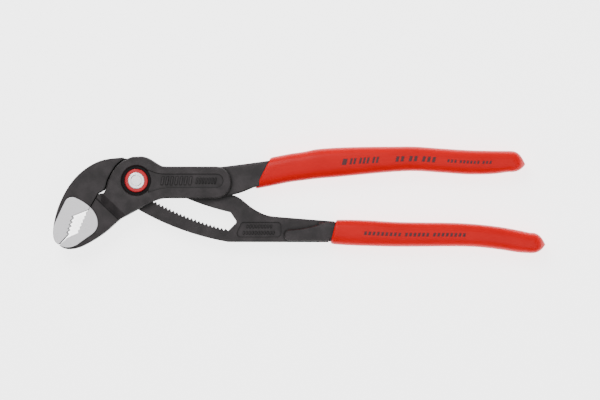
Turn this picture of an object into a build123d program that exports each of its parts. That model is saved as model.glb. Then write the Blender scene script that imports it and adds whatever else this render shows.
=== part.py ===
from build123d import *
import math
import os

# Tongue and groove pliers of the 250 mm class, with a box joint, a curved toothed slot and a
# push-button ratchet in the hinge bolt.
#
# Frame, in millimetres: the pliers lie on their back. The origin is on the hinge axis at the back
# face of the box joint, +Z runs along the hinge axis towards the push button, +X runs towards
# the handle ends and the jaws point to -X and -Y. Modelled with the jaws closed at the
# smallest setting.
#
# The box lever carries the lower jaw and the upper handle. Its two cheeks hold the hinge bolt.
# The slotted lever carries the upper jaw and the lower handle. Its core passes between the
# cheeks, and its curved slot rides on the bolt's shank.

# ---- driving dimensions: thicknesses and heights along Z ----
BOX_T = 13.0             # over both cheeks
MID_Z = BOX_T / 2
CORE_T = 5.6             # slotted lever where it passes through the box
SLIT_T = 5.8             # gap between the cheeks
JAW_T = 9.8              # forged jaws
PAD_T = 10.6             # ground flats on the jaws
OPENING = 40             # how far the levers open about the hinge, degrees
CHEEK_BACK_TOP = MID_Z - SLIT_T / 2
CHEEK_FRONT_LOW = MID_Z + SLIT_T / 2

# ---- driving dimensions: the curved slot and its rack ----
SLOT_RADIUS = 145.2      # slot centre line, about a far centre up and to the right
SLOT_BEARING = 56.17     # bearing of that centre from the hinge axis, degrees
SLOT_HALF = 4.15         # half width between the smooth edge and the tooth tips
TOOTH_HEIGHT = 1.25
NOTCH_DEG = 0.765        # angle of one tooth pitch about the slot's centre
NOTCHES = 24             # steps from the smallest to the largest setting
TIP_SHARE = 0.36         # a tooth's steep flank, as a share of the pitch
TIP_RADIUS = SLOT_RADIUS + SLOT_HALF
ROOT_RADIUS = TIP_RADIUS + TOOTH_HEIGHT
SLOT_CENTRE = (
    SLOT_RADIUS * math.cos(math.radians(SLOT_BEARING)),
    SLOT_RADIUS * math.sin(math.radians(SLOT_BEARING)),
)
OUTWARD = SLOT_BEARING + 180   # bearing from the slot's centre to the hinge axis

# ---- driving dimensions: hinge bolt and ratchet ----
SHANK_R = 4.05
HEAD_R = 7.2
RUNNING_GAP = 0.05
HEAD_LOW = CHEEK_FRONT_LOW + 0.02
HEAD_TOP = 12.3
CUP_R = 6.0
CUP_FLOOR = 10.0
PRESS = 1.5              # push-button travel
WEDGE_RATIO = 0.8        # pawl lift for each millimetre of press
POCKET_HALF = 2.5        # ratchet pocket, half width across the bolt
POCKET_LOW, POCKET_TOP = 4.2, 8.8
PIN_R = 1.5
PIN_TAIL_R = 1.2
BUTTON_R = 4.2
COLLAR_R = 5.9
BUTTON_TOP = 14.0
BUTTON_LOW = CUP_FLOOR + PRESS + 0.05
CHAMBER_R = 2.6
BACK_RECESS_R = 6.3
BACK_RECESS = 1.5

# ---- driving dimensions: handles ----
COAT = 1.2               # thickness of the dipped grips
CHEEK_POCKET = 0.5       # depth of the pockets in the cheeks
LEVER_POCKET = 0.45      # depth of the pockets in the slotted lever


def polar(radius, degrees, centre=(0.0, 0.0)):
    """A point at a radius and bearing from a centre."""
    turn = math.radians(degrees)
    return (centre[0] + radius * math.cos(turn), centre[1] + radius * math.sin(turn))


def on_slot(radius, degrees):
    """A point about the slot's centre; degrees run from the hinge axis towards the handles."""
    return polar(radius, OUTWARD + degrees, SLOT_CENTRE)


def slab(face, low, high):
    """A flat outline made solid between two heights."""
    return Pos(0, 0, low) * extrude(face, high - low)


def centred(face, thickness):
    """A flat outline made solid, with its thickness centred in the tool."""
    return slab(face, MID_Z - thickness / 2, MID_Z + thickness / 2)


def ring(outer, inner, low, high):
    """A flat ring round the hinge axis."""
    return slab(Circle(outer) - Circle(inner), low, high)


def disc(radius, low, high):
    """A cylinder on the hinge axis."""
    return slab(Circle(radius), low, high)


def soften(part, size):
    """Bevels a slab's outline on both of its flat faces."""
    ends = part.faces().filter_by(Axis.Z)
    return chamfer([edge for face in ends for edge in face.edges()], size)


# ---------------------------------------------------------------- jaw profiles
def saw(start, end, count, depth, lean):
    """Points of saw teeth cut behind the line from start to end, peaks on the line."""
    dx, dy = end[0] - start[0], end[1] - start[1]
    length = math.hypot(dx, dy)
    nx, ny = dy / length * depth, -dx / length * depth
    points = []
    for k in range(count):
        points.append((start[0] + dx * k / count, start[1] + dy * k / count))
        valley = (k + lean) / count
        points.append((start[0] + dx * valley + nx, start[1] + dy * valley + ny))
    points.append(end)
    return points


UPPER_THROAT = (-24.4, -14.7)
UPPER_CORNER = (-32.8, -18.0)
UPPER_TEETH = ((-32.3, -19.2), (-34.7, -27.1))
UPPER_TIP = (-39.4, -32.3)
LOWER_THROAT = (-24.3, -15.0)
LOWER_TEETH = ((-25.6, -16.1), (-30.3, -26.7))
LOWER_HEEL = (-34.9, -28.8)
LOWER_TIP = (-39.0, -32.7)
SEAM_TOP = (-19.7, -7.5)


def upper_grip_edge():
    """The upper jaw's gripping edge, from throat to tip."""
    teeth = saw(*UPPER_TEETH, 4, 1.0, 0.66)
    return [UPPER_THROAT, UPPER_CORNER] + teeth + [UPPER_TIP]


def lower_grip_edge():
    """The lower jaw's gripping edge, from throat to tip."""
    teeth = saw(*LOWER_TEETH, 6, -0.7, 0.66)
    return [LOWER_THROAT] + teeth + [LOWER_HEEL, LOWER_TIP]


def pad_outline():
    """The ground flat across both closed jaws, an egg shape."""
    rim = [
        (-36.0, -10.4), (-34.5, -8.9), (-32.5, -8.4), (-30.4, -8.9), (-27.8, -10.2),
        (-23.6, -13.2), (-21.1, -16.3), (-19.8, -19.5), (-19.7, -22.6), (-20.8, -25.3),
        (-23.4, -27.7), (-27.8, -30.8), (-31.2, -33.0), (-34.2, -33.8), (-37.4, -33.4),
        (-40.6, -31.2), (-42.3, -26.5), (-40.0, -18.7),
    ]
    return make_face(Spline(*rim, periodic=True))


# ---------------------------------------------------------------- box lever
RAMP_START = (-17.8, -10.4)
RAMP_END = (-8.3, -19.4)


def cheek_face():
    """One cheek of the box joint: the plan view of the box."""
    return make_face([
        Line((-2.0, 12.05), (2.4, 12.25)),
        Spline((2.4, 12.25), (4.6, 11.9), (11.4, 8.0), (17.0, 7.15), tangents=[(1, 0), (1, 0)]),
        Line((17.0, 7.15), (40.2, 7.15)),
        ThreePointArc((40.2, 7.15), (48.0, -0.9), (40.2, -9.0)),
        Line((40.2, -9.0), (15.0, -9.0)),
        Spline((15.0, -9.0), (9.6, -10.0), (0.0, -14.9), tangents=[(-1, 0), (-2, -1)]),
        Line((0.0, -14.9), RAMP_END),
        Line(RAMP_END, RAMP_START),
        Line(RAMP_START, (-17.3, -7.0)),
        Spline(
            (-17.3, -7.0), polar(15.9, 194.5), polar(14.5, 183), polar(13.1, 165.5),
            polar(12.35, 143.7), polar(12.0, 122), (-2.0, 12.05),
        ),
    ])


def lower_jaw_face():
    """The lower jaw with its root under the cheeks."""
    outer = [
        LOWER_TIP, (-37.3, -33.9), (-35.4, -34.55), (-33.3, -34.7), (-29.7, -34.1), (-26.2, -32.6),
        (-22.6, -30.6), (-15.5, -25.8), (-6.4, -18.0), (-0.1, -14.95),
    ]
    return make_face([
        Spline(*outer),
        Line(outer[-1], (-3.0, -8.0)),
        Line((-3.0, -8.0), (-14.0, -7.6)),
        Line((-14.0, -7.6), (-16.6, -6.3)),
        Line((-16.6, -6.3), (-18.5, -6.5)),
        Line((-18.5, -6.5), SEAM_TOP),
        Line(SEAM_TOP, LOWER_THROAT),
        *Polyline(*lower_grip_edge()).edges(),
    ])


def ramp():
    """What is cut away where a cheek's face falls to the lower jaw's."""
    along = (Vector(*RAMP_END) - Vector(*RAMP_START)).normalized()
    inward = Vector(-along.Y, along.X)
    side = Plane(origin=Vector(*RAMP_START), x_dir=inward, z_dir=along)
    jaw_face = MID_Z + JAW_T / 2
    wedge = Polyline((-1, jaw_face - 0.3), (3.4, BOX_T), (3.4, BOX_T + 1), (-1, BOX_T + 1), close=True)
    cut = Pos(*(-4 * along)) * extrude(side * make_face(wedge), 22)
    return cut + mirror(cut, Plane.XY.offset(MID_Z))


def passage_face():
    """Plan of the gap between the cheeks that the slotted lever's core sweeps as it opens."""
    inner, outer = 131.6, 158.1
    start, end = -9.0, 27.0
    middle = (start + end) / 2
    band = make_face([
        ThreePointArc(on_slot(inner, start), on_slot(inner, middle), on_slot(inner, end)),
        Line(on_slot(inner, end), on_slot(outer, end)),
        ThreePointArc(on_slot(outer, end), on_slot(outer, middle), on_slot(outer, start)),
        Line(on_slot(outer, start), on_slot(inner, start)),
    ])
    handle_side = band & (Pos(*polar(100, OUTWARD + 90)) * Rot(0, 0, OUTWARD) * Rectangle(80, 200))
    swept = Circle(15.4) + band
    for turn in range(5, OPENING + 1, 5):
        swept += Rot(0, 0, -turn) * handle_side
    return swept


def station(x, low, high, thick, corner, inset=0.0):
    """An upright rounded section of a handle."""
    plane = Plane(origin=(x, (low + high) / 2, MID_Z), x_dir=(0, 1, 0), z_dir=(1, 0, 0))
    return plane * RectangleRounded(high - low - 2 * inset, thick - 2 * inset, corner - inset)


def handle(stations, inset=0.0):
    """A handle lofted through sections given as x, lower y, upper y, thickness, corner radius."""
    return loft([station(*values, inset) for values in stations])


def nose(x, low, high, thick, corner, tip):
    """The blunt point of a grip, from its last section to its tip."""
    sections = []
    for t in (0, 0.2, 0.35, 0.5, 0.62, 0.73, 0.83, 0.91, 0.98):
        share = 1 - t**3
        middle = (low + high) / 2 + (tip[1] - (low + high) / 2) * (1 - share)
        half = (high - low) / 2 * share
        reach = x + (tip[0] - x) * t
        sections.append(station(reach, middle - half, middle + half, thick * share, corner * share))
    return loft(sections, ruled=True)


UPPER_HANDLE = [
    (58.0, -4.5, 8.9, 11.0, 3.4),
    (76.0, -1.1, 13.7, 11.6, 3.8),
    (94.0, 1.1, 16.2, 12.0, 4.3),
    (112.0, 2.9, 17.1, 12.4, 4.6),
    (130.0, 4.4, 17.4, 12.6, 4.8),
    (148.0, 4.4, 16.9, 12.6, 4.8),
    (166.0, 3.3, 15.6, 12.4, 4.8),
    (187.0, 4.0, 15.2, 12.2, 4.8),
]
UPPER_TIP_AT = (196.9, 8.3)
UPPER_GRIP_EDGE = ((67.2, 12.0), (59.2, -6.4))
LOWER_HANDLE = [
    (92.0, -31.4, -19.6, 11.0, 3.4),
    (109.0, -32.9, -19.8, 11.8, 4.2),
    (126.0, -33.5, -20.5, 12.4, 4.6),
    (143.0, -33.5, -21.1, 12.6, 4.8),
    (160.0, -33.4, -21.4, 12.6, 4.8),
    (177.0, -34.2, -22.6, 12.4, 4.8),
    (197.0, -36.9, -25.8, 12.2, 4.8),
]
LOWER_TIP_AT = (207.2, -32.5)
LOWER_GRIP_EDGE = ((100.7, -19.0), (98.0, -33.0))


def ahead_of(edge):
    """Everything on the jaw side of a slanted line through a handle."""
    (x1, y1), (x2, y2) = edge
    far = 40
    return slab(
        make_face(Polyline((x1, y1), (x2, y2), (x2 - far, y2 - 5), (x1 - far, y1 + 5), close=True)),
        -5, BOX_T + 5,
    )


def upper_tang():
    """The box lever's steel tang from the cheeks to the end of its handle."""
    neck = make_face([
        Line((30.0, 6.6), (43.0, 7.0)),
        Spline((43.0, 7.0), (48.0, 7.6), (67.5, 10.2)),
        Line((67.5, 10.2), (62.0, -2.7)),
        Spline((62.0, -2.7), (59.4, -3.4), (53.5, -5.8), (49.5, -7.0), (42.0, -8.6)),
        Line((42.0, -8.6), (30.0, -8.2)),
        Line((30.0, -8.2), (30.0, 6.6)),
    ])
    return centred(neck, 9.6), handle(UPPER_HANDLE, COAT)


def box_lever():
    """The forged lever with the lower jaw, the two cheeks and the upper handle's tang."""
    box = soften(slab(cheek_face(), 0, BOX_T), 0.6)
    jaw = soften(centred(lower_jaw_face(), JAW_T), 0.25)
    pad = centred(pad_outline() & lower_jaw_face(), PAD_T)
    neck, tang = upper_tang()
    lever = box + jaw + pad + soften(neck, 0.6) + tang
    lever -= ramp()
    lever -= slab(passage_face(), CHEEK_BACK_TOP, CHEEK_FRONT_LOW)
    lever -= disc(SHANK_R + RUNNING_GAP, 0, CHEEK_BACK_TOP)
    lever -= disc(BACK_RECESS_R, 0, BACK_RECESS)
    lever -= disc(HEAD_R + RUNNING_GAP, CHEEK_FRONT_LOW, BOX_T)
    lever -= Pos(0, 0, BOX_T - 0.35) * Cone(HEAD_R + RUNNING_GAP, 7.95, 0.7)
    lever -= slab(label_pocket(), BOX_T - CHEEK_POCKET, BOX_T)
    return lever - slab(label_pocket(), 0, CHEEK_POCKET)


def label_pocket():
    """The long shallow pocket along each cheek."""
    return make_face([
        Spline((5.9, 5.6), (9.2, 4.2), (12.5, 3.5), (17.0, 3.4), tangents=[(1, -0.5), (1, 0)]),
        Line((17.0, 3.4), (40.4, 3.4)),
        ThreePointArc((40.4, 3.4), (43.95, -0.15), (40.4, -3.7)),
        Line((40.4, -3.7), (17.0, -3.7)),
        Spline((17.0, -3.7), (12.5, -4.2), (9.2, -5.1), (6.1, -6.1), tangents=[(-1, 0), (-1, -0.3)]),
        Line((6.1, -6.1), (5.9, 5.6)),
    ])


# ---------------------------------------------------------------- slotted lever
def rack():
    """Zigzag points of the rack about the slot's centre, from the jaw side to the handles."""
    points = []
    for k in range(-1, NOTCHES + 3):
        at = k * NOTCH_DEG
        points.append(on_slot(ROOT_RADIUS, at - TIP_SHARE * NOTCH_DEG))
        points.append(on_slot(TIP_RADIUS, at))
    return points


def slot_face():
    """The curved slot: a smooth inner edge, and the rack along the outer one."""
    teeth = rack()
    smooth = SLOT_RADIUS - SLOT_HALF
    start = on_slot(smooth, 0)
    band = make_face([
        *Polyline(*teeth).edges(),
        *Polyline(teeth[-1], (46.1, -25.5), (50.3, -21.3), (50.2, -20.2), (47.4, -16.1)).edges(),
        ThreePointArc((47.4, -16.1), on_slot(smooth, 10.0), start),
        *Polyline(start, on_slot(SLOT_RADIUS, -(1 + TIP_SHARE) * NOTCH_DEG), teeth[0]).edges(),
    ])
    return band + Circle(SLOT_HALF + 0.1)


def core_face():
    """Plan of the slotted lever's flat core, from the upper jaw's root to the lower handle."""
    upper = 132.0
    jaw_end = on_slot(157.3, -5.0)
    return make_face([
        Spline((-8.0, 11.4), (-2.0, 11.0), (4.0, 9.8), (9.5, 6.9), on_slot(upper, 3.6)),
        ThreePointArc(on_slot(upper, 3.6), on_slot(upper, 12.0), (49.7, -7.65)),
        Spline((49.7, -7.65), (53.0, -9.5), (57.5, -13.2), (63.0, -16.4), (70.0, -18.2),
               tangents=[(1, -0.3), (1, -0.1)]),
        Line((70.0, -18.2), (100.0, -20.6)),
        Line((100.0, -20.6), (97.0, -31.2)),
        Line((97.0, -31.2), (46.3, -31.1)),
        ThreePointArc((46.3, -31.1), (14.9, -21.75), jaw_end),
        *Polyline(jaw_end, (-15.5, 4.6), (-11.0, 10.4), (-8.0, 11.4)).edges(),
    ])


def upper_jaw_face():
    """The upper jaw outside the box, with its shoulder round the cheeks."""
    outer = [
        (-6.9, 11.75), (-11.0, 11.4), (-17.5, 10.3), (-23.1, 7.8), (-28.7, 3.7), (-32.9, -0.9),
        (-37.5, -8.5), (-40.8, -17.2), (-41.9, -22.5), (-42.15, -26.8), (-41.7, -29.6), UPPER_TIP,
    ]
    shoulder = [
        (-19.4, -6.4), (-18.0, -5.7), polar(16.6, 194.5), polar(15.05, 183), polar(13.6, 165.5),
        polar(12.85, 143.7), polar(12.5, 122),
    ]
    return make_face([
        Spline(*outer),
        *Polyline(*reversed(upper_grip_edge())).edges(),
        Line(UPPER_THROAT, (-23.2, -13.0)),
        Line((-23.2, -13.0), shoulder[0]),
        Spline(*shoulder),
        Line(shoulder[-1], outer[0]),
    ])


def lower_neck_face():
    """Where the slotted lever thickens into its handle."""
    return make_face([
        Spline((96.4, -20.7), (90.2, -22.8), (83.0, -24.3), (77.2, -24.8)),
        ThreePointArc((77.2, -24.8), (74.5, -27.6), (77.2, -30.5)),
        Line((77.2, -30.5), (97.6, -30.7)),
        Line((97.6, -30.7), (101.0, -21.2)),
        Line((101.0, -21.2), (96.4, -20.7)),
    ])


def slotted_lever():
    """The forged lever with the upper jaw, the curved slot and the lower handle's tang."""
    core = centred(core_face() - slot_face(), CORE_T)
    jaw = soften(centred(upper_jaw_face(), JAW_T), 0.25)
    pad = centred(pad_outline() & upper_jaw_face(), PAD_T)
    neck = soften(centred(lower_neck_face(), 8.6), 0.6)
    lever = core + jaw + pad + neck + handle(LOWER_HANDLE, COAT)
    pocket = extrude(lever_pocket(), LEVER_POCKET, both=True)
    for face in (-1, 1):
        lever -= Pos(0, 0, MID_Z + face * CORE_T / 2) * pocket
    return lever


def lever_pocket():
    """The shallow pocket in the slotted lever, beyond the slot."""
    outline = make_face(Polyline((49.6, -28.7), (73.1, -28.7), (73.1, -21.0), (53.0, -21.0), close=True))
    return fillet(outline.vertices(), 1.9)


def grip(stations, tip, edge, lever):
    """A dipped grip: the handle's outer skin, less the steel inside it."""
    return handle(stations) + nose(*stations[-1], tip) - ahead_of(edge) - lever


# ---------------------------------------------------------------- hinge bolt and ratchet
def facing_rack(part):
    """Turns a part built with +X towards the rack into its place."""
    return Rot(0, 0, OUTWARD) * part


def hinge_bolt():
    """A cupped head, and a shank that the slot rides on, with a pocket for the pawl."""
    bolt = disc(HEAD_R, HEAD_LOW, HEAD_TOP) + disc(SHANK_R, 0.3, HEAD_LOW)
    bolt -= disc(CUP_R, CUP_FLOOR, HEAD_TOP)
    bolt -= disc(PIN_R + RUNNING_GAP, POCKET_TOP, CUP_FLOOR)
    bolt -= disc(PIN_TAIL_R + 0.1, 3.8, POCKET_LOW)
    bolt -= disc(CHAMBER_R, 0.3, 3.8)
    bolt -= ring(SHANK_R + 1, 3.6, 0.55, 1.05)
    return bolt - slab(Pos(3.0, 0) * Rectangle(13.0, 2 * POCKET_HALF), POCKET_LOW, POCKET_TOP)


def ratchet_pawl():
    """The toothed slide: two teeth in the rack, and a slanted wall for the pin's wedge."""
    half, gap = POCKET_HALF - RUNNING_GAP, 0.12
    teeth = [
        (radius * math.cos(math.radians(a)) - SLOT_RADIUS, radius * math.sin(math.radians(a)))
        for k in range(-2, 4)
        for radius, a in (
            (ROOT_RADIUS - gap, (k - TIP_SHARE) * NOTCH_DEG),
            (TIP_RADIUS - gap, k * NOTCH_DEG),
        )
    ]
    outline = make_face(Polyline((-2.1, teeth[0][1]), *teeth, (-2.1, teeth[-1][1]), close=True))
    body = slab(outline & Pos(0, 0) * Rectangle(30, 2 * half),
                POCKET_LOW + RUNNING_GAP, POCKET_TOP - RUNNING_GAP)
    slant = 1.2
    wall = Plane.XZ * make_face(Polyline(
        (2.8, 0), (-0.36, 0), (-0.36, 6.0), (-0.36 - slant, 6.0 + slant / WEDGE_RATIO),
        (-0.36 - slant, 12), (2.8, 12), close=True,
    ))
    return body - extrude(wall, 1.6, both=True)


def pawl_spring():
    """A bowed leaf between the pawl's back and the end of its pocket."""
    bow = make_face([
        ThreePointArc((-3.4, -2.2), (-2.4, 0), (-3.4, 2.2)),
        Line((-3.4, 2.2), (-3.2, 2.2)),
        ThreePointArc((-3.2, 2.2), (-2.2, 0), (-3.2, -2.2)),
        Line((-3.2, -2.2), (-3.4, -2.2)),
    ])
    return slab(bow, 5.2, 7.8)


def release_pin():
    """The button's stem, with a wedge that draws the pawl back and a grooved tail."""
    wedge_low, wedge_top = 6.0, 7.5
    pin = disc(PIN_TAIL_R, 2.85, wedge_low) + disc(PIN_R, wedge_low, 13.5)
    clear = Plane.XZ * make_face(Polyline(
        (-3, POCKET_LOW), (-0.3, POCKET_LOW), (-0.3, wedge_low), (-PIN_R, wedge_top), (-3, wedge_top), close=True,
    ))
    pin -= extrude(clear, 4, both=True)
    return pin - ring(PIN_TAIL_R + 1, 0.8, 3.2, 3.65)


def coil(radius, wire, low, high, turns):
    """A helical compression spring on the hinge axis."""
    path = Helix(pitch=(high - low - 2 * wire) / turns, height=high - low - 2 * wire, radius=radius)
    section = Plane(origin=path @ 0, z_dir=path % 0) * Circle(wire)
    return Pos(0, 0, low + wire) * sweep(section, path=path)


def push_button():
    """The bright cap, hollow below for its spring, with a boss for the pin."""
    cap = disc(BUTTON_R, BUTTON_LOW, BUTTON_TOP) - disc(3.75, BUTTON_LOW, 13.1)
    cap += ring(2.1, PIN_R, 12.0, 13.1)
    cap -= disc(PIN_R, 12.0, 13.5)
    cap = fillet(cap.edges().filter_by(GeomType.CIRCLE).group_by(Axis.Z)[-1], 0.45)
    return cap - ring(2.9, 2.6, BUTTON_TOP - 0.15, BUTTON_TOP)


def button_collar():
    """The coloured ring pressed on the button's skirt."""
    collar = ring(COLLAR_R, BUTTON_R, BUTTON_LOW, 13.45)
    edge = collar.edges().filter_by(GeomType.CIRCLE).group_by(Axis.Z)[-1].sort_by(SortBy.RADIUS)[-1]
    return fillet(edge, 0.5)


def snap_ring(outer, inner, low, high, opening):
    """A flat spring-steel ring with a gap in it."""
    return ring(outer, inner, low, high) - slab(Pos(0, -outer / 2) * Rectangle(opening, outer), low, high)


def rear_cap():
    """The plug that closes the bolt's bore at the back."""
    return disc(3.9, 0, 0.3) + disc(CHAMBER_R, 0.3, 1.2)


def main():
    box, slotted = box_lever(), slotted_lever()
    parts = {
        "box_lever": box,
        "upper_grip": grip(UPPER_HANDLE, UPPER_TIP_AT, UPPER_GRIP_EDGE, box),
        "slotted_lever": slotted,
        "lower_grip": grip(LOWER_HANDLE, LOWER_TIP_AT, LOWER_GRIP_EDGE, slotted),
        "hinge_bolt": facing_rack(hinge_bolt()),
        "ratchet_pawl": facing_rack(ratchet_pawl()),
        "pawl_spring": facing_rack(pawl_spring()),
        "release_pin": facing_rack(release_pin()),
        "button_spring": coil(2.9, 0.18, 10.05, 13.05, 4),
        "push_button": push_button(),
        "button_collar": button_collar(),
        "pin_snap_ring": snap_ring(2.3, 0.85, 3.25, 3.6, 1.4),
        "rear_washer": ring(6.2, SHANK_R + RUNNING_GAP, 1.05, 1.45),
        "bolt_retaining_ring": snap_ring(5.4, 3.65, 0.6, 1.0, 5.0),
        "rear_cap": rear_cap(),
    }
    os.makedirs("parts", exist_ok=True)
    for name, part in parts.items():
        export_step(part, f"parts/{name}.step")


main()
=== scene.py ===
import math

import bmesh
import bpy
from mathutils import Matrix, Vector


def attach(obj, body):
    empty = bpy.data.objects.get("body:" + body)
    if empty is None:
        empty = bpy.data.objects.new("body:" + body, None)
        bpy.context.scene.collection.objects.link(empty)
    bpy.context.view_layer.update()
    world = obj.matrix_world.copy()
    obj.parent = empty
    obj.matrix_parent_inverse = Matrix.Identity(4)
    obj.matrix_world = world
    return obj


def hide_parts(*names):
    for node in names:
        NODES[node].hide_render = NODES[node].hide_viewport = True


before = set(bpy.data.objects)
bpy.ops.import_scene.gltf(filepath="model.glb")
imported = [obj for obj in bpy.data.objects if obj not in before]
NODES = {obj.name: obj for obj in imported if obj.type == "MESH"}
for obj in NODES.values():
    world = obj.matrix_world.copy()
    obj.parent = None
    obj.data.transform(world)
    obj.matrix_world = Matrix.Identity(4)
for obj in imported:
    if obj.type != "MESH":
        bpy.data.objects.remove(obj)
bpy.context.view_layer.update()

# Tongue and groove pliers lying on their back, in metres. +Z runs up out of the push button, +X
# towards the handle ends. Lengths below are in millimetres and are turned into metres by MM.
MM = 0.001
MID_Z = 6.5              # middle of the tool's thickness
FRONT_Z = 13.0           # front face of the cheeks
CORE_HALF = 2.8          # half thickness of the slotted lever's flat core
CHEEK_POCKET = 0.5       # depth of the cheeks' pockets
LEVER_POCKET = 0.45      # depth of the slotted lever's pockets
MARK_HEIGHT = 0.45       # height of the raised marks over a pocket's floor
GROUND_FROM_MID = 5.05   # the jaw flats lie further than this from the middle plane
JAW_LIMIT_X = -18.0      # the jaw flats lie on the -X side of this


# ---------------------------------------------------------------- node-tree helpers
class Shader:
    """A material's node tree, with short calls for the nodes used here."""

    def __init__(self, name, **sockets):
        self.material = bpy.data.materials.new(name)
        self.material.use_nodes = True
        self.tree = self.material.node_tree
        self.bsdf = self.tree.nodes["Principled BSDF"]
        self.coords = self.tree.nodes.new("ShaderNodeTexCoord").outputs["Object"]
        for socket, value in sockets.items():
            self.bsdf.inputs[socket.replace("_", " ")].default_value = value

    def node(self, kind, **inputs):
        """A new node, with values or links for its inputs by name."""
        made = self.tree.nodes.new("ShaderNode" + kind)
        for socket, value in inputs.items():
            self.plug(made.inputs[socket.replace("_", " ")], value)
        return made

    def plug(self, socket, value):
        """Links a socket to another one, or gives it a fixed value."""
        if isinstance(value, bpy.types.NodeSocket):
            self.tree.links.new(value, socket)
        else:
            socket.default_value = value

    def noise(self, per_metre, detail=3.0, stretch=(1, 1, 1)):
        """Noise at a scale given in cells per metre, longer along the small axes of stretch."""
        scaled = self.node("VectorMath", Vector=self.coords)
        scaled.operation = "MULTIPLY"
        scaled.inputs[1].default_value = stretch
        cells = self.node("TexNoise", Vector=scaled.outputs[0], Scale=per_metre, Detail=detail)
        return cells.outputs["Fac"]

    def ramp(self, factor, low, high, start=0.0, end=1.0):
        """Maps a factor between two colours or two numbers."""
        made = self.node("ValToRGB", Fac=factor)
        first, last = made.color_ramp.elements
        first.position, last.position = start, end
        first.color, last.color = colour(low), colour(high)
        return made.outputs["Color"]

    def mix(self, factor, low, high):
        """Blends two colours, or two numbers, by a factor."""
        made = self.tree.nodes.new("ShaderNodeMix")
        made.data_type = "RGBA"
        self.plug(made.inputs[0], factor)
        self.plug(made.inputs[6], low)
        self.plug(made.inputs[7], high)
        return made.outputs[2]

    def maths(self, operation, first, second=0.0, third=0.0):
        made = self.tree.nodes.new("ShaderNodeMath")
        made.operation = operation
        for socket, value in zip(made.inputs, (first, second, third)):
            self.plug(socket, value)
        return made.outputs[0]

    def axis(self, name):
        """One coordinate of the surface point, in metres."""
        return self.node("SeparateXYZ", Vector=self.coords).outputs[name]

    def painted_crease_shade(self, base, reach, gain=2.0):
        """Paints shade into a colour: darkens it by ambient occlusion in corners narrower than reach, as
        painted shade.
        """
        open_sky = self.node("AmbientOcclusion", Distance=reach)
        open_sky.samples = 8
        # painted shade: how much darker the colour turns where the corner is closed in
        shade_amount = self.maths("MULTIPLY", self.maths("SUBTRACT", 1.0, open_sky.outputs["AO"]), gain)
        shade_amount.node.use_clamp = True
        return self.mix(shade_amount, base, colour(0.003))

    def relief(self, height, depth, strength=1.0, edge=0.0):
        """Bumps the surface, over softened edges where edge gives their radius."""
        bump = self.node("Bump", Height=height, Distance=depth, Strength=strength)
        if edge:
            bevel = self.node("Bevel", Radius=edge)
            bevel.samples = 6
            self.plug(bump.inputs["Normal"], bevel.outputs[0])
        self.plug(self.bsdf.inputs["Normal"], bump.outputs[0])

    def set(self, **sockets):
        """Plugs values or links into the surface's own sockets."""
        for socket, value in sockets.items():
            self.plug(self.bsdf.inputs[socket.replace("_", " ")], value)


def colour(value):
    """A grey level or an RGB triple as the four numbers a socket needs."""
    if isinstance(value, (int, float)):
        return (value, value, value, 1.0)
    return (*value, 1.0)


# ---------------------------------------------------------------- materials
DARK_STEEL = (0.022, 0.019, 0.020)
DARK_STEEL_LIGHT = (0.042, 0.036, 0.038)
BARE_STEEL = (0.70, 0.69, 0.71)
BARE_STEEL_DULL = (0.55, 0.54, 0.56)


def forged_steel(name, ground=False):
    """Dark phosphated forging, with bright ground jaw flats where asked."""
    s = Shader(name, Metallic=0.35, Specular_IOR_Level=0.4)
    cloud = s.noise(160, 5.0)
    grain = s.noise(3200, 3.0)
    blast = s.noise(9000, 2.0)
    dark = s.mix(s.ramp(cloud, 0.0, 1.0, 0.35, 0.7), colour(DARK_STEEL), colour(DARK_STEEL_LIGHT))
    dull = s.ramp(grain, 0.42, 0.62, 0.3, 0.7)
    height = s.maths("ADD", s.maths("MULTIPLY", grain, 0.7), s.maths("MULTIPLY", blast, 0.3))
    # painted shade: the forging's colour is darkened in its corners, pocket walls and steps
    dark = s.painted_crease_shade(dark, 0.002)
    if not ground:
        s.set(Base_Color=dark, Roughness=dull)
        s.relief(height, 0.00004, 0.6, edge=0.00035)
        return s.material
    away = s.maths("ABSOLUTE", s.maths("SUBTRACT", s.axis("Z"), MID_Z * MM))
    flat = s.maths("GREATER_THAN", away, GROUND_FROM_MID * MM)
    jaw = s.maths("LESS_THAN", s.axis("X"), JAW_LIMIT_X * MM)
    bright = s.maths("MULTIPLY", flat, jaw)
    scratches = s.noise(900, 4.0, (0.35, 8.0, 1.0))
    steel = s.mix(scratches, colour(BARE_STEEL_DULL), colour(BARE_STEEL))
    s.set(
        Base_Color=s.mix(bright, dark, steel),
        Metallic=s.maths("MULTIPLY_ADD", bright, 0.6, 0.35),
        Roughness=s.mix(bright, dull, s.ramp(scratches, 0.26, 0.40, 0.3, 0.7)),
    )
    s.relief(s.mix(bright, height, scratches), 0.00004, 0.5, edge=0.0003)
    return s.material


def dipped_plastic(name, base, deep):
    """Smooth, slightly soft dipped coating."""
    s = Shader(name, Coat_Weight=0.03, Coat_Roughness=0.25, Specular_IOR_Level=0.12)
    cloud = s.noise(60, 4.0)
    s.set(Base_Color=s.mix(s.ramp(cloud, 0.0, 1.0, 0.3, 0.7), colour(deep), colour(base)))
    s.set(Roughness=s.ramp(s.noise(700, 3.0), 0.30, 0.42, 0.3, 0.7))
    orange_peel = s.maths("ADD", s.noise(450, 2.0), s.maths("MULTIPLY", s.noise(5000, 2.0), 0.15))
    s.relief(orange_peel, 0.00008, 0.35)
    return s.material


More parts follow.
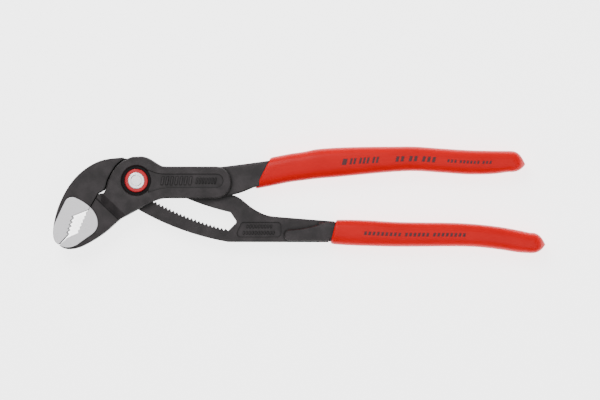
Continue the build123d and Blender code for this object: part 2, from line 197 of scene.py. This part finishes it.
def turned_metal(name, low, high, rough=(0.25, 0.38), metallic=0.95):
    """Metal turned on a lathe: fine rings about the hinge axis."""
    s = Shader(name, Metallic=metallic, Specular_IOR_Level=0.5 if metallic else 0.12)
    rings = s.tree.nodes.new("ShaderNodeTexWave")
    rings.wave_type = "RINGS"
    rings.rings_direction = "Z"
    for socket, value in (("Scale", 1500.0), ("Distortion", 1.5), ("Detail", 3.0)):
        rings.inputs[socket].default_value = value
    s.plug(rings.inputs["Vector"], s.coords)
    cloud = s.noise(700, 4.0)
    s.set(Base_Color=s.mix(cloud, colour(low), colour(high)))
    s.set(Roughness=s.ramp(cloud, *rough, 0.3, 0.7))
    s.relief(rings.outputs["Fac"], 0.00001, 0.4, edge=0.00012)
    return s.material


def printed_ink(name):
    """Dark printing on the grips, a little broken up."""
    s = Shader(name, Specular_IOR_Level=0.4)
    worn = s.noise(2500, 4.0)
    s.set(Base_Color=s.mix(worn, colour((0.05, 0.004, 0.006)), colour((0.10, 0.006, 0.01))))
    s.set(Roughness=s.ramp(s.noise(900), 0.35, 0.5))
    return s.material


FORGING = forged_steel("dark_forging", ground=True)
PLAIN_FORGING = forged_steel("dark_relief")
GRIP_RED = dipped_plastic("dipped_red", (0.70, 0.0, 0.003), (0.62, 0.0, 0.002))
INK = printed_ink("grip_print")
BRIGHT = turned_metal("bright_button", (0.86, 0.86, 0.87), (0.96, 0.96, 0.97))
RED_METAL = turned_metal("red_collar", (0.40, 0.004, 0.010), (0.52, 0.008, 0.016), (0.28, 0.4), 0.35)
BLACK_METAL = turned_metal("black_bolt", (0.004, 0.0035, 0.004), (0.009, 0.008, 0.009), (0.45, 0.6), 0.0)
SPRING_STEEL = turned_metal("spring_steel", (0.35, 0.34, 0.33), (0.5, 0.49, 0.48))
HARD_STEEL = turned_metal("hardened_steel", (0.28, 0.28, 0.29), (0.42, 0.42, 0.43))

NODE_MATERIALS = {
    "box_lever": FORGING,
    "slotted_lever": FORGING,
    "upper_grip": GRIP_RED,
    "lower_grip": GRIP_RED,
    "hinge_bolt": BLACK_METAL,
    "ratchet_pawl": HARD_STEEL,
    "pawl_spring": SPRING_STEEL,
    "release_pin": HARD_STEEL,
    "button_spring": SPRING_STEEL,
    "push_button": BRIGHT,
    "button_collar": RED_METAL,
    "pin_snap_ring": SPRING_STEEL,
    "rear_washer": BLACK_METAL,
    "bolt_retaining_ring": SPRING_STEEL,
    "rear_cap": BLACK_METAL,
}


def shade(obj, angle=30):
    """Smooth shading that stays sharp over a given angle."""
    bpy.ops.object.select_all(action="DESELECT")
    obj.select_set(True)
    bpy.context.view_layer.objects.active = obj
    bpy.ops.object.shade_smooth_by_angle(angle=math.radians(angle))


def dress_nodes():
    """Gives every CAD node its material."""
    for name, material in NODE_MATERIALS.items():
        data = NODES[name].data
        data.materials.clear()
        data.materials.append(material)


def new_piece(name, bm, material, body):
    """A mesh object that rides on a body."""
    data = bpy.data.meshes.new(name)
    bm.normal_update()
    bm.to_mesh(data)
    bm.free()
    data.materials.append(material)
    piece = bpy.data.objects.new(name, data)
    bpy.context.scene.collection.objects.link(piece)
    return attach(piece, body)


# ---------------------------------------------------------------- grips
def curve_through(points):
    """A smooth function through (x, y) points, cubic between them."""
    xs = [p[0] for p in points]
    ys = [p[1] for p in points]
    slopes = []
    for k in range(len(points)):
        left, right = max(k - 1, 0), min(k + 1, len(points) - 1)
        slopes.append((ys[right] - ys[left]) / (xs[right] - xs[left]))

    def value(x):
        k = 0
        while k < len(xs) - 2 and x > xs[k + 1]:
            k += 1
        width = xs[k + 1] - xs[k]
        t = (x - xs[k]) / width
        return (
            ys[k] * (1 + 2 * t) * (1 - t) ** 2
            + slopes[k] * width * t * (1 - t) ** 2
            + ys[k + 1] * t * t * (3 - 2 * t)
            + slopes[k + 1] * width * t * t * (t - 1)
        )

    return value


class Grip:
    """A dipped grip as a surface over u, along the handle, and w, from its lower to its upper edge."""

    ROUNDNESS = 2.7          # exponent of the section, 2 is an ellipse
    LIP = 1.4                # length of the rolled front edge
    LIP_INSET = 0.9          # how far the front edge rolls in
    LEAN_LENGTH = 34.0       # the front edge's slant fades out over this length
    PRINT_LIFT = 0.03        # height of the print over the surface

    def __init__(self, name, body, rows, tip, lean, front):
        self.name, self.body, self.tip, self.lean, self.front = name, body, tip, lean, front
        self.low = curve_through([(x, low) for x, low, high, thick in rows])
        self.high = curve_through([(x, high) for x, low, high, thick in rows])
        self.thick = curve_through([(x, thick) for x, low, high, thick in rows])
        self.shoulder = rows[-1][0]

    def section(self, x, w):
        """Lower edge, upper edge and half thickness at a place."""
        if x <= self.shoulder:
            return self.low(x), self.high(x), self.thick(x) / 2
        share = min((x - self.shoulder) / (self.tip[0] - self.shoulder), 1.0)
        fade = max(1 - share**3, 0.01)
        low, high = self.low(self.shoulder), self.high(self.shoulder)
        middle = (low + high) / 2 + (self.tip[1] - (low + high) / 2) * (1 - fade)
        half = (high - low) / 2 * fade
        return middle - half, middle + half, self.thick(self.shoulder) / 2 * fade

    def point(self, u, angle, inset=0.0):
        """The surface point at a distance u from the front edge and an angle round the section."""
        power = 2 / self.ROUNDNESS
        c = math.copysign(abs(math.cos(angle)) ** power, math.cos(angle))
        s = math.copysign(abs(math.sin(angle)) ** power, math.sin(angle))
        fade = max(0.0, 1 - u / self.LEAN_LENGTH)
        x = self.front + u + self.lean * fade * c
        low, high, half = self.section(x, c)
        y = (low + high) / 2 + c * ((high - low) / 2 - inset)
        return Vector((x, y, MID_Z + s * (half - inset))) * MM

    def build(self, rings=150, around=56):
        """The skin, from its rolled front edge to its blunt point."""
        length = self.tip[0] - self.front
        along = [self.LIP * k / 5 for k in range(5)]
        nose = self.tip[0] - self.shoulder
        straight = length - nose
        along += [self.LIP + (straight - self.LIP) * k / rings for k in range(rings)]
        along += [straight + nose * k / 24 for k in range(25)]
        bm = bmesh.new()
        loops = [self.ring(bm, 0.9, 1.6, around), self.ring(bm, 0.25, 1.15, around)]
        for u in along:
            roll = max(0.0, 1 - u / self.LIP)
            loops.append(self.ring(bm, u, self.LIP_INSET * (1 - math.sqrt(1 - roll * roll)), around))
        for first, second in zip(loops, loops[1:]):
            for k in range(around):
                nxt = (k + 1) % around
                bm.faces.new((first[k], first[nxt], second[nxt], second[k]))
        bm.faces.new(loops[-1])
        bmesh.ops.recalc_face_normals(bm, faces=bm.faces)
        piece = new_piece(self.name + "_skin", bm, GRIP_RED, self.body)
        shade(piece, 50)
        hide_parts(self.name)
        return piece

    def ring(self, bm, u, inset, around):
        """One loop of points round the section."""
        return [bm.verts.new(self.point(u, 2 * math.pi * k / around, inset)) for k in range(around)]

    def top_of(self, x, y):
        """The height of the front surface over a point, in millimetres."""
        low, high, half = self.section(x, 0)
        c = (y - (low + high) / 2) / ((high - low) / 2)
        return MID_Z + half * (1 - min(abs(c), 0.999) ** self.ROUNDNESS) ** (1 / self.ROUNDNESS)

    def print_bars(self, name, start, end, height, shares):
        """Printed slanted bars along the grip's middle; shares gives each bar's relative width."""
        bm = bmesh.new()
        pitch = (end - start) / sum(shares)
        x = start
        for share in shares:
            width = share * pitch
            if share >= 1:
                self.bar(bm, x, x + width * 0.62, height)
            x += width
        piece = new_piece(name, bm, INK, self.body)
        return piece

    def bar(self, bm, x0, x1, height, slant=0.25, rows=5):
        """One printed bar, laid on the curved surface."""
        low, high, _ = self.section(x0, 0)
        grid = []
        for i in range(rows + 1):
            v = (i / rows - 0.5) * height
            y = (low + high) / 2 + v
            row = []
            for x in (x0, x1):
                px = x + v * slant
                row.append(bm.verts.new(Vector((px, y, self.top_of(px, y) + self.PRINT_LIFT)) * MM))
            grid.append(row)
        for lower, upper in zip(grid, grid[1:]):
            bm.faces.new((lower[0], lower[1], upper[1], upper[0]))


# Rows of x, lower edge, upper edge and thickness, from each grip's front edge to its shoulder.
UPPER_ROWS = [
    (56.0, -4.9, 8.4, 10.9),
    (66.0, -3.1, 11.3, 11.3),
    (77.0, -0.9, 13.6, 11.7),
    (84.4, 0.1, 14.7, 11.9),
    (91.0, 0.9, 16.0, 12.1),
    (101.6, 1.8, 16.8, 12.3),
    (115.0, 3.1, 17.2, 12.4),
    (130.0, 4.4, 17.3, 12.5),
    (141.0, 4.8, 17.3, 12.5),
    (154.0, 4.0, 16.4, 12.5),
    (168.0, 3.1, 15.5, 12.4),
    (180.0, 3.3, 15.2, 12.3),
    (188.5, 4.3, 15.1, 12.0),
]
LOWER_ROWS = [
    (94.0, -31.5, -19.5, 11.0),
    (101.0, -32.4, -19.75, 11.4),
    (109.0, -32.9, -19.8, 11.8),
    (118.0, -33.2, -20.1, 12.1),
    (130.0, -33.5, -20.8, 12.4),
    (143.0, -33.5, -21.1, 12.5),
    (160.0, -33.4, -21.3, 12.5),
    (172.0, -33.7, -22.0, 12.4),
    (184.0, -35.0, -23.4, 12.3),
    (193.0, -36.4, -25.0, 12.2),
    (199.0, -36.8, -26.3, 11.6),
]


def build_grips():
    """Both grips, each with its generic print."""
    upper = Grip("upper_grip", "box_lever", UPPER_ROWS, (196.8, 8.2), 3.6, 63.6)
    lower = Grip("lower_grip", "slotted_lever", LOWER_ROWS, (206.98, -32.4), 1.3, 99.4)
    upper.build()
    lower.build()
    upper.print_bars("upper_print_a", 104.0, 123.0, 3.2, [2, 1, 1, 0.5, 1, 1, 1, 0.5, 1, 1])
    upper.print_bars("upper_print_b", 131.0, 152.0, 2.8, [1, 1, 0.6, 1, 1, 0.6, 1, 1, 1])
    small = [1] * 3 + [0.5] + [1] * 6 + [0.5] + [1] * 3
    upper.print_bars("upper_print_c", 157.0, 180.0, 1.6, small)
    lower.print_bars("lower_print", 115.0, 167.0, 1.9, [1] * 9 + [0.6] + [1] * 6 + [0.6] + [1] * 8)


# ---------------------------------------------------------------- raised marks in the pockets
def raised_bar(bm, centre, size, base, height, slant=0.18, face=1):
    """A slanted bar with sloping sides, standing on a pocket's floor."""
    corners = []
    for level, shrink in ((0.0, 0.0), (height, 0.16)):
        for dx, dy in ((-1, -1), (1, -1), (1, 1), (-1, 1)):
            y = dy * (size[1] / 2 - shrink)
            x = dx * (size[0] / 2 - shrink) + y * slant
            corners.append(bm.verts.new(Vector((centre[0] + x, centre[1] + y, base + face * level)) * MM))
    for quad in ((4, 5, 6, 7), (0, 1, 5, 4), (1, 2, 6, 5), (2, 3, 7, 6), (3, 0, 4, 7)):
        bm.faces.new([corners[k] for k in quad])


def pocket_marks(name, body, base, bars, face=1):
    """Raised generic marks: bars as (x, y, width, height)."""
    bm = bmesh.new()
    for x, y, width, tall in bars:
        raised_bar(bm, (x, y), (width, tall), base, MARK_HEIGHT, face=face)
    bmesh.ops.recalc_face_normals(bm, faces=bm.faces)
    piece = new_piece(name, bm, PLAIN_FORGING, body)
    return piece


def build_marks():
    """The raised marks on the front and the back, in the cheeks and in the slotted lever."""
    wide = [(13.2 + 2.35 * k, -0.1, 1.25, 4.3) for k in range(7)]
    small = [(30.6 + 1.55 * k, -0.1, 0.8, 3.0) for k in range(7)]
    pocket_marks("cheek_marks", "box_lever", FRONT_Z - CHEEK_POCKET, wide + small)
    pocket_marks("cheek_marks_back", "box_lever", CHEEK_POCKET, wide + small, face=-1)
    floor = CORE_HALF - LEVER_POCKET
    upper = [(56.0 + 1.5 * k, -23.2, 0.8, 1.7) for k in range(9)]
    lower = [(54.2 + 1.5 * k, -26.4, 0.8, 1.7) for k in range(11)]
    pocket_marks("lever_marks", "slotted_lever", MID_Z + floor, upper + lower)
    pocket_marks("lever_marks_back", "slotted_lever", MID_Z - floor, upper + lower, face=-1)


def build_button_marks():
    """Two dark arcs on the floor of the groove in the button's face, as generic marks."""
    inner_r, outer_r, height, steps = 2.63, 2.87, 13.87, 12
    bm = bmesh.new()
    for start, end in ((95, 160), (285, 335)):
        inner, outer = [], []
        for k in range(steps + 1):
            turn = math.radians(start + (end - start) * k / steps)
            for edge, radius in ((inner, inner_r), (outer, outer_r)):
                place = Vector((radius * math.cos(turn), radius * math.sin(turn), height))
                edge.append(bm.verts.new(place * MM))
        for k in range(steps):
            bm.faces.new((inner[k], outer[k], outer[k + 1], inner[k + 1]))
    piece = new_piece("button_marks", bm, BLACK_METAL, "button")


# ---------------------------------------------------------------- surroundings
def soft_light(name, place, aim, size, power):
    """A square soft box aimed at a point."""
    data = bpy.data.lights.new(name, "AREA")
    data.shape, data.size, data.energy = "SQUARE", size, power
    lamp = bpy.data.objects.new(name, data)
    lamp.location = place
    lamp.rotation_euler = (Vector(aim) - Vector(place)).to_track_quat("-Z", "Y").to_euler()
    bpy.context.scene.collection.objects.link(lamp)


def build_studio():
    """A pale floor, white surroundings and three soft boxes."""
    s = Shader("pale_floor", Roughness=0.9, Specular_IOR_Level=0.1, Emission_Strength=3.2)
    s.bsdf.inputs["Emission Color"].default_value = (1, 1, 1, 1)
    s.set(Base_Color=s.mix(s.noise(8, 2.0), colour(0.93), colour(0.96)))
    bm = bmesh.new()
    bmesh.ops.create_grid(bm, x_segments=1, y_segments=1, size=2.5)
    data = bpy.data.meshes.new("floor")
    bm.to_mesh(data)
    bm.free()
    data.materials.append(s.material)
    floor = bpy.data.objects.new("floor", data)
    floor.location = (0.08, -0.01, -0.0003)
    bpy.context.scene.collection.objects.link(floor)
    world = bpy.data.worlds.new("studio")
    world.use_nodes = True
    world.node_tree.nodes["Background"].inputs["Color"].default_value = (1, 1, 1, 1)
    world.node_tree.nodes["Background"].inputs["Strength"].default_value = 0.35
    bpy.context.scene.world = world
    middle = (0.08, -0.01, 0)
    soft_light("key", (-0.25, 0.55, 0.8), middle, 0.5, 7)
    soft_light("fill", (0.6, -0.4, 0.9), middle, 0.7, 3)
    soft_light("overhead", (0.05, 0.0, 1.5), middle, 0.9, 5)


def build_camera():
    """Straight above the tool, with a long lens, as the photograph looks."""
    view_width, distance = 304.2 * MM, 1.3
    data = bpy.data.cameras.new("camera")
    data.sensor_width = 36.0
    data.lens = data.sensor_width * distance / view_width
    camera = bpy.data.objects.new("camera", data)
    camera.location = (82.6 * MM, -9.8 * MM, MID_Z * MM + distance)
    bpy.context.scene.collection.objects.link(camera)
    bpy.context.scene.camera = camera


dress_nodes()
build_grips()
build_marks()
build_button_marks()
build_studio()
build_camera()
